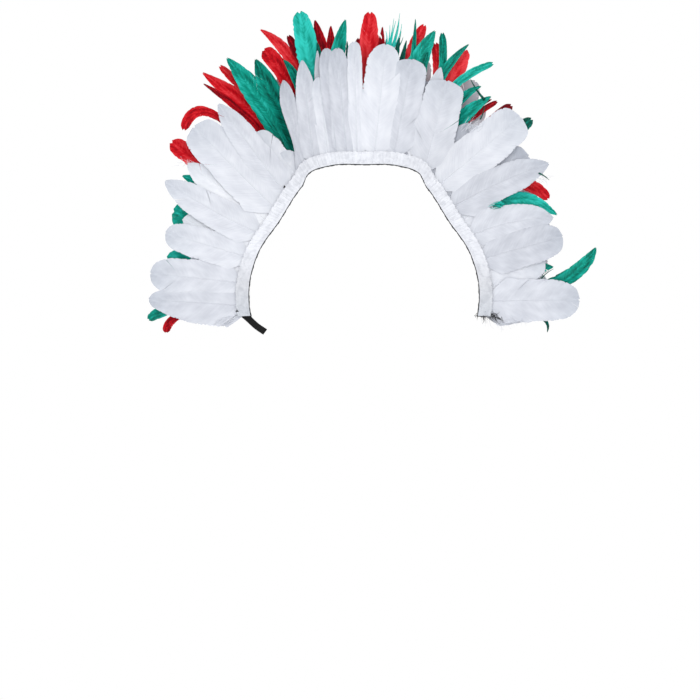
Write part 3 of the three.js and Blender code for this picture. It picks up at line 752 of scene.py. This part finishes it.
# Front goose feathers
# Two rows of broad white goose feathers, sewn on in front of the coloured ones. The front row shows whole,
# and the row behind it fills in between, mostly shorter, so that the coloured tips show in the notches.
FRONT_B_ROW = Row(level=3, opening=0.27)
FRONT_A_ROW = Row(level=4, opening=0.34)
GOOSE_GROWTH = Growth(lines=84, points=7, sweep=1.1, splits=1, parting=0.03, ragged=0.035, cup=0.020,
                      quill=0.0011, cant=0.006)
# Low tones in this row are painted shade from the row in front of it
FRONT_B_FEATHERS = [
    Feather(-116, -0.285, -0.210, 0.044, "goose_round", tone=0.3),
    Feather(-108, -0.298, -0.182, 0.050, "goose_round"),
    Feather(-97, -0.258, -0.1365, 0.052, "goose_round", tone=0.8),
    Feather(-84, -0.2715, -0.0825, 0.054, "goose_pointed", tone=0.9),
    Feather(-71, -0.2655, 0.000, 0.044, "goose_pointed", tone=0.85),
    Feather(-56, -0.192, 0.039, 0.056, "goose_round"),
    Feather(-45, -0.1635, 0.0465, 0.045, "goose_round", tone=0.45),
    Feather(-40, -0.126, 0.016, 0.038, "goose_round", tone=0.45),
    Feather(-33, -0.1005, 0.1035, 0.032, "goose_narrow"),
    Feather(-25, -0.070, 0.173, 0.014, "goose_pointed"),
    Feather(-13, -0.0465, 0.1605, 0.036, "goose_round"),
    Feather(-7, -0.0255, 0.147, 0.036, "goose_round"),
    Feather(-1, 0.000, 0.114, 0.036, "goose_round"),
    Feather(11, 0.054, 0.158, 0.050, "goose_round"),
    Feather(23, 0.0945, 0.126, 0.046, "goose_round", tone=0.1),
    Feather(29, 0.1155, 0.147, 0.030, "goose_pointed"),
    Feather(42, 0.166, 0.058, 0.040, "goose_round", tone=0.15),
    Feather(53, 0.2475, 0.0105, 0.052, "goose_broad", tone=0.15),
    Feather(70, 0.192, -0.060, 0.052, "goose_pointed", tone=0.4),
    Feather(86, 0.2805, -0.0975, 0.052, "goose_round"),
    Feather(98, 0.2715, -0.147, 0.050, "goose_round"),
    Feather(105, 0.2595, -0.1695, 0.048, "goose_round"),
    Feather(116, 0.285, -0.212, 0.040, "goose_round", tone=0.3),
]
# Low tones in this row, such as on the feathers beside the neck, are painted shade
FRONT_A_FEATHERS = [
    Feather(-113, -0.3225, -0.204, 0.062, "goose_tapering", tone=0.33),
    Feather(-103, -0.3195, -0.1645, 0.053, "goose_round", tone=0.43),
    Feather(-91, -0.297, -0.104, 0.046, "goose_round"),
    Feather(-78, -0.2985, -0.0255, 0.046, "goose_pointed", bow=-0.025, tone=0.55),
    Feather(-63, -0.255, 0.0555, 0.061, "goose_broad", tone=0.62),
    Feather(-52, -0.219, 0.091, 0.042, "goose_pointed", tone=0.33),
    Feather(-37, -0.121, 0.1275, 0.024, "goose_narrow", tone=0.35),
    Feather(-29, -0.093, 0.1575, 0.032, "goose_pointed", tone=0.35),
    Feather(-21, -0.0675, 0.132, 0.028, "goose_round"),
    Feather(-16, -0.057, 0.1755, 0.028, "goose_round", tone=0.45),
    Feather(-10, -0.0405, 0.1755, 0.034, "goose_round", tone=0.35),
    Feather(-4, -0.015, 0.186, 0.022, "goose_broad"),
    Feather(6, 0.033, 0.1815, 0.054, "goose_round", tone=0.7),
    Feather(17, 0.072, 0.159, 0.052, "goose_broad"),
    Feather(36, 0.1245, 0.126, 0.060, "goose_broad"),
    Feather(46, 0.2355, 0.0705, 0.062, "goose_broad"),
    Feather(61, 0.2775, 0.000, 0.048, "goose_pointed", bow=-0.03, tone=0.25),
    Feather(80, 0.2835, -0.0825, 0.052, "goose_pointed", bow=-0.06, tone=0.33),
    Feather(92, 0.297, -0.110, 0.054, "goose_round", tone=0.24),
    Feather(111, 0.3217, -0.204, 0.060, "goose_round", tone=0.4),
]
# The grey dark end of the white goose colours is painted shade, for feathers given a low tone
white_goose = feather_material(
    "white_goose", dark=(0.42, 0.44, 0.50), middle=(0.655, 0.675, 0.73), light=(0.85, 0.865, 0.90),
    base_painted_shade=(1.0, 1.0, 1.0), tip_painted_shade=(0.80, 0.82, 0.84), translucent=0.2, lively=0.3)
feather_row("goose_front_b_feathers", "goose_front_b", FRONT_B_ROW, GOOSE_GROWTH,
            FRONT_B_FEATHERS, white_goose, seed=41)
feather_row("goose_front_a_feathers", "goose_front_a", FRONT_A_ROW, GOOSE_GROWTH,
            FRONT_A_FEATHERS, white_goose, seed=53)

# Down works loose at the two ends and at a few ragged tips
Tuft = namedtuple("Tuft", "x z reach_x reach_z spread count")
WHITE_TUFTS = [
    Tuft(-0.198, -0.230, -0.020, -0.012, 0.005, 14),
    Tuft(0.197, -0.229, 0.006, -0.018, 0.009, 34),
    Tuft(0.225, -0.233, 0.007, -0.008, 0.010, 22),
    Tuft(-0.262, 0.000, -0.006, 0.004, 0.008, 20),
    Tuft(0.160, 0.052, 0.010, 0.016, 0.008, 40),
    Tuft(0.262, -0.022, 0.008, -0.003, 0.007, 20),
]
DOWN_RADIUS = 0.00028
TUFT_FLATNESS = 3
STRAND_STRETCH = (0.4, 1.1)
STRAND_STRAY = 0.003
STRAND_BOW_VARY = 0.12
STRAND_TONES = (0.3, 0.7)


def tuft_strands(rng, tufts, radius):
    """Strands that start round each tuft's place and lie roughly along its reach."""
    strands = []
    for tuft in tufts:
        for _ in range(tuft.count):
            start_x = tuft.x + rng.normal(0.0, tuft.spread)
            start_z = tuft.z + rng.normal(0.0, tuft.spread / TUFT_FLATNESS)
            stretch = rng.uniform(*STRAND_STRETCH)
            end_x = start_x + stretch * tuft.reach_x + rng.normal(0.0, STRAND_STRAY)
            end_z = start_z + stretch * tuft.reach_z + rng.normal(0.0, STRAND_STRAY)
            bow = rng.normal(0.0, STRAND_BOW_VARY)
            tone = rng.uniform(*STRAND_TONES)
            strands.append(Strand(start_x, start_z, end_x, end_z, bow, radius, tone))
    return strands


loose_down = tuft_strands(np.random.default_rng(seed=61), WHITE_TUFTS, DOWN_RADIUS)
strand_piece("loose_down", white_goose, FRONT_A_ROW, loose_down)

# Header tape
# White cotton tape gathered along the whole inner edge and sewn down over the quills. Its gathers are
# shallow, its two hems stand up a little, and painted shade darkens it towards its ends.
TAPE_ROW = Row(level=5, opening=0.40)
TAPE_WIDTH = 0.019
TAPE_THICKNESS = 0.0006
TAPE_STEPS = 620
TAPE_STEPS_ACROSS = 12
TAPE_PRESSED = 0.0006
# Painted shade in the crinkles: the tape runs from a shaded grey in their folds to a lit grey on top
TAPE_CRINKLE_SHADED = (0.54, 0.555, 0.60, 1.0)
TAPE_CRINKLE_LIT = (0.65, 0.665, 0.71, 1.0)
CRINKLE_DARK_TO = 0.3
CRINKLE_LIGHT_FROM = 0.6
# The colour that the tape's two ends are darkened to, as painted shade
TAPE_END_SHADE = (0.74, 0.76, 0.77, 1.0)
TAPE_EDGE_WANDER = 0.0006
TAPE_EDGE_WAVES = [Wave(1.0, 2.1, 0.0, 0.0), Wave(0.7, 5.3, 0.0, 1.0)]
GATHER_DEPTH = 0.0016
GATHERS = [
    Wave(1.0, 3.3, 2.0, 0.0),
    Wave(0.8, 5.9, -2.6, 1.3),
    Wave(0.6, 9.7, 3.4, 0.4),
    Wave(0.5, 1.3, 0.0, 0.7),
]
HEM_DEPTH = 0.0005
Hem = namedtuple("Hem", "across width")
HEMS = [Hem(0.07, 0.08), Hem(0.90, 0.07)]
# How much of its whiteness the tape keeps under the painted shade at its two ends, by the share of the way
# along it
EndShadeStop = namedtuple("EndShadeStop", "along shade")
TAPE_END_SHADING = [EndShadeStop(0.06, 0.80), EndShadeStop(0.13, 1.0), EndShadeStop(0.87, 1.0), EndShadeStop(0.94, 0.80)]
header_tape, along, across = flat_band("gathered_tape", TAPE_STEPS, TAPE_STEPS_ACROSS)
tape_turn = END_TURN * (2 * along - 1)
tape_edge = TAPE_EDGE_WANDER * wavy(TAPE_EDGE_WAVES, tape_turn, across)
tape_x, tape_z = out_from_edge(tape_turn, across * (TAPE_WIDTH + tape_edge))
tape_y = row_depth(tape_x, tape_z, TAPE_ROW, 0.0)
gather_swing = 2 * sum(gather.height for gather in GATHERS)
gathers = 0.5 + wavy(GATHERS, tape_turn, across) / gather_swing
hems = sum(np.exp(-((across - hem.across) / hem.width)**2) for hem in HEMS)
tape_y = tape_y + TAPE_PRESSED - GATHER_DEPTH * gathers - HEM_DEPTH * hems
lay_band(header_tape, tape_x, tape_y, tape_z, TAPE_THICKNESS)

cotton, nodes, links, surface = new_material("white_cotton_tape", roughness=0.85, specular=0.2)
weave_map = nodes.new("ShaderNodeUVMap")
weave_map.uv_map = "UVMap"
weave_scale = nodes.new("ShaderNodeMapping")
weave_scale.inputs["Scale"].default_value = (900.0, 24.0, 1.0)
weave = nodes.new("ShaderNodeTexChecker")
weave.inputs["Scale"].default_value = 1.0
weave.inputs["Color1"].default_value = (0.96, 0.96, 0.96, 1.0)
weave.inputs["Color2"].default_value = (1.0, 1.0, 1.0, 1.0)
crinkle_scale = nodes.new("ShaderNodeMapping")
crinkle_scale.inputs["Scale"].default_value = (60.0, 2.2, 1.0)
crinkles = nodes.new("ShaderNodeTexNoise")
crinkles.inputs["Scale"].default_value = 1.0
crinkles.inputs["Detail"].default_value = 2.0
crinkles.inputs["Distortion"].default_value = 0.8
# The crinkle noise paints shade into the tape's colour, darker where its bump lies low
crinkle_painted_shade = shade_node(nodes, TAPE_CRINKLE_SHADED, TAPE_CRINKLE_LIT)
crinkle_painted_shade.color_ramp.elements[0].position = CRINKLE_DARK_TO
crinkle_painted_shade.color_ramp.elements[1].position = CRINKLE_LIGHT_FROM
tape_run = nodes.new("ShaderNodeSeparateXYZ")
# Painted shade: the two ends of the tape are darkened
end_shade = shade_node(nodes, TAPE_END_SHADE, TAPE_END_SHADE)
for shade_stop in TAPE_END_SHADING:
    end_shade.color_ramp.elements.new(shade_stop.along).color = (shade_stop.shade, shade_stop.shade, shade_stop.shade, 1.0)
end_shaded = multiply_node(nodes)
woven = multiply_node(nodes)
weave_bump = bump_node(nodes, strength=0.3, distance=0.0003)
crinkle_bump = bump_node(nodes, strength=0.4, distance=0.002)
links.new(weave_map.outputs["UV"], weave_scale.inputs["Vector"])
links.new(weave_scale.outputs["Vector"], weave.inputs["Vector"])
links.new(weave_map.outputs["UV"], crinkle_scale.inputs["Vector"])
links.new(crinkle_scale.outputs["Vector"], crinkles.inputs["Vector"])
links.new(crinkles.outputs["Fac"], crinkle_painted_shade.inputs["Fac"])
links.new(weave_map.outputs["UV"], tape_run.inputs["Vector"])
links.new(tape_run.outputs["X"], end_shade.inputs["Fac"])
links.new(crinkle_painted_shade.outputs["Color"], end_shaded.inputs["A"])
links.new(end_shade.outputs["Color"], end_shaded.inputs["B"])
links.new(end_shaded.outputs["Result"], woven.inputs["A"])
links.new(weave.outputs["Color"], woven.inputs["B"])
links.new(woven.outputs["Result"], surface.inputs["Base Color"])
links.new(weave.outputs["Fac"], weave_bump.inputs["Height"])
links.new(crinkles.outputs["Fac"], crinkle_bump.inputs["Height"])
links.new(weave_bump.outputs["Normal"], crinkle_bump.inputs["Normal"])
links.new(crinkle_bump.outputs["Normal"], surface.inputs["Normal"])
header_tape.data.materials.append(cotton)
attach(header_tape, "root")
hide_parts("header_tape")

# Frayed felt
# At the right end the felt's cut edge is frayed under the tape, and its fibres hang out. Two knots of the
# black sewing thread show beside the tape on the left half, one of them near its end.
FRAY_ROW = Row(level=5, opening=0.42)
FELT_FRAY_RADIUS = 0.00045
FELT_TUFTS = [
    Tuft(0.174, -0.225, 0.003, -0.007, 0.006, 30),
    Tuft(0.187, -0.226, 0.006, -0.008, 0.005, 34),
    Tuft(0.197, -0.231, 0.006, -0.006, 0.003, 8),
]
THREAD_KNOTS = [
    Strand(-0.1200, -0.0345, -0.1165, -0.0345, 0.1, 0.0022, 0.0),
    Strand(-0.1905, -0.2200, -0.1865, -0.2215, 0.1, 0.0024, 0.0),
]
felt_fray = tuft_strands(np.random.default_rng(seed=67), FELT_TUFTS, FELT_FRAY_RADIUS)
strand_piece("frayed_felt", black_felt, FRAY_ROW, felt_fray + THREAD_KNOTS)

# Tie ribbon
# Black woven ribbon, 10 mm wide, sewn behind the left end of the felt. It hangs from there and turns
# backwards on its way down.
RIBBON_WIDTH = 0.010
RIBBON_THICKNESS = 0.0006
RIBBON_STEPS = 48
RIBBON_STEPS_ACROSS = 6
RIBBON_DARK = (0.002, 0.002, 0.002, 1.0)
RIBBON_LIGHT = (0.009, 0.010, 0.010, 1.0)
# The ribbon's run in the front view, and how far behind the felt's front face it lies
RibbonStop = namedtuple("RibbonStop", "x z behind")
RIBBON = [
    RibbonStop(-0.207, -0.208, 0.0035),
    RibbonStop(-0.189, -0.219, 0.0035),
    RibbonStop(-0.174, -0.231, 0.008),
    RibbonStop(-0.161, -0.243, 0.022),
    RibbonStop(-0.148, -0.252, 0.042),
]
tie_ribbon, along, across = flat_band("black_tie", RIBBON_STEPS, RIBBON_STEPS_ACROSS)
ribbon_stops = np.linspace(0.0, 1.0, len(RIBBON))
run_x = smooth_curve(ribbon_stops, [stop.x for stop in RIBBON], along)
run_z = smooth_curve(ribbon_stops, [stop.z for stop in RIBBON], along)
run_behind = smooth_curve(ribbon_stops, [stop.behind for stop in RIBBON], along)
down_run = Vector((RIBBON[-1].x - RIBBON[0].x, RIBBON[-1].z - RIBBON[0].z)).normalized()
ribbon_x = run_x - down_run.y * RIBBON_WIDTH * (across - 0.5)
ribbon_z = run_z + down_run.x * RIBBON_WIDTH * (across - 0.5)
ribbon_y = felt_under(run_x, run_z)[0] + run_behind
lay_band(tie_ribbon, ribbon_x, ribbon_y, ribbon_z, RIBBON_THICKNESS)

ribbon_weave, nodes, links, surface = new_material("black_woven_ribbon", roughness=0.7, specular=0.15)
ribbon_map = nodes.new("ShaderNodeUVMap")
ribbon_map.uv_map = "UVMap"
ribs = nodes.new("ShaderNodeTexWave")
ribs.bands_direction = "X"
ribs.inputs["Scale"].default_value = 30.0
ribbon_shade = shade_node(nodes, RIBBON_DARK, RIBBON_LIGHT)
ribbon_bump = bump_node(nodes, strength=0.4, distance=0.0002)
links.new(ribbon_map.outputs["UV"], ribs.inputs["Vector"])
links.new(ribs.outputs["Fac"], ribbon_shade.inputs["Fac"])
links.new(ribbon_shade.outputs["Color"], surface.inputs["Base Color"])
links.new(ribs.outputs["Fac"], ribbon_bump.inputs["Height"])
links.new(ribbon_bump.outputs["Normal"], surface.inputs["Normal"])
tie_ribbon.data.materials.append(ribbon_weave)
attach(tie_ribbon, "root")
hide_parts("tie_ribbon")

# Camera and stage
# The picture is taken level, from straight in front, with soft light from the front and white paper
# behind. The shawl is held up where it is worn, so the pale floor lies a metre and more below it.
PICTURE_WIDTH = 1.05
PICTURE_CENTRE = (-0.021, -0.030, -0.279)
CAMERA_DISTANCE = 20.0
FLOOR_HEIGHT = -1.45
FLOOR_RADIUS = 4.5
FLOOR_SIDES = 96
FLOOR_COLOUR = (0.86, 0.86, 0.86, 1.0)
# The room turns to white paper between these shares of the way to straight behind
PAPER_STARTS = 0.55
PAPER_FULL = 0.85
PAPER_BRIGHTNESS = 1.0
ROOM_BRIGHTNESS = 0.64
FRONT_LIGHT = 1.4
FRONT_LIGHT_SPREAD = 30

SoftLight = namedtuple("SoftLight", "name place size power")
SOFT_LIGHTS = [
    SoftLight("key_light", (-1.3, -3.0, 1.3), 2.2, 36.0),
    SoftLight("fill_light", (1.7, -2.9, 0.1), 2.4, 20.0),
    SoftLight("back_light", (0.5, 2.6, 1.7), 2.0, 34.0),
]

scene.view_settings.view_transform = "Standard"
scene.view_settings.look = "None"
camera_data = bpy.data.cameras.new("camera")
camera_data.angle = 2 * math.atan(PICTURE_WIDTH / 2 / CAMERA_DISTANCE)
camera = bpy.data.objects.new("camera", camera_data)
scene.collection.objects.link(camera)
camera.location = Vector(PICTURE_CENTRE) + Vector((0, -CAMERA_DISTANCE, 0))
camera.rotation_euler = (math.pi / 2, 0, 0)
scene.camera = camera

studio = bpy.data.worlds.new("studio")
scene.world = studio
studio.use_nodes = True
nodes, links = studio.node_tree.nodes, studio.node_tree.links
direction = nodes.new("ShaderNodeTexCoord")
parts = nodes.new("ShaderNodeSeparateXYZ")
brightness = nodes.new("ShaderNodeMapRange")
brightness.inputs["From Min"].default_value = PAPER_STARTS
brightness.inputs["From Max"].default_value = PAPER_FULL
brightness.inputs["To Min"].default_value = ROOM_BRIGHTNESS
brightness.inputs["To Max"].default_value = PAPER_BRIGHTNESS
nodes["Background"].inputs["Color"].default_value = (1.0, 1.0, 1.0, 1.0)
links.new(direction.outputs["Generated"], parts.inputs["Vector"])
links.new(parts.outputs["Y"], brightness.inputs["Value"])
links.new(brightness.outputs["Result"], nodes["Background"].inputs["Strength"])

for soft_light in SOFT_LIGHTS:
    light_data = bpy.data.lights.new(soft_light.name, "AREA")
    light_data.shape = "DISK"
    light_data.size = soft_light.size
    light_data.energy = soft_light.power
    light = bpy.data.objects.new(soft_light.name, light_data)
    scene.collection.objects.link(light)
    light.location = soft_light.place
    aim = Vector(PICTURE_CENTRE) - Vector(soft_light.place)
    light.rotation_euler = aim.to_track_quat("-Z", "Y").to_euler()

front_light = bpy.data.lights.new("front_light", "SUN")
front_light.energy = FRONT_LIGHT
front_light.angle = math.radians(FRONT_LIGHT_SPREAD)
light = bpy.data.objects.new("front_light", front_light)
scene.collection.objects.link(light)
light.rotation_euler = camera.rotation_euler

deselect_all()
bpy.ops.mesh.primitive_circle_add(
    vertices=FLOOR_SIDES, radius=FLOOR_RADIUS, fill_type="NGON", location=(0, 0, FLOOR_HEIGHT))
floor = bpy.context.object
floor.name = "floor"
floor_paint, nodes, links, surface = new_material("pale_floor", roughness=0.8, specular=0.5)
surface.inputs["Base Color"].default_value = FLOOR_COLOUR
floor.data.materials.append(floor_paint)
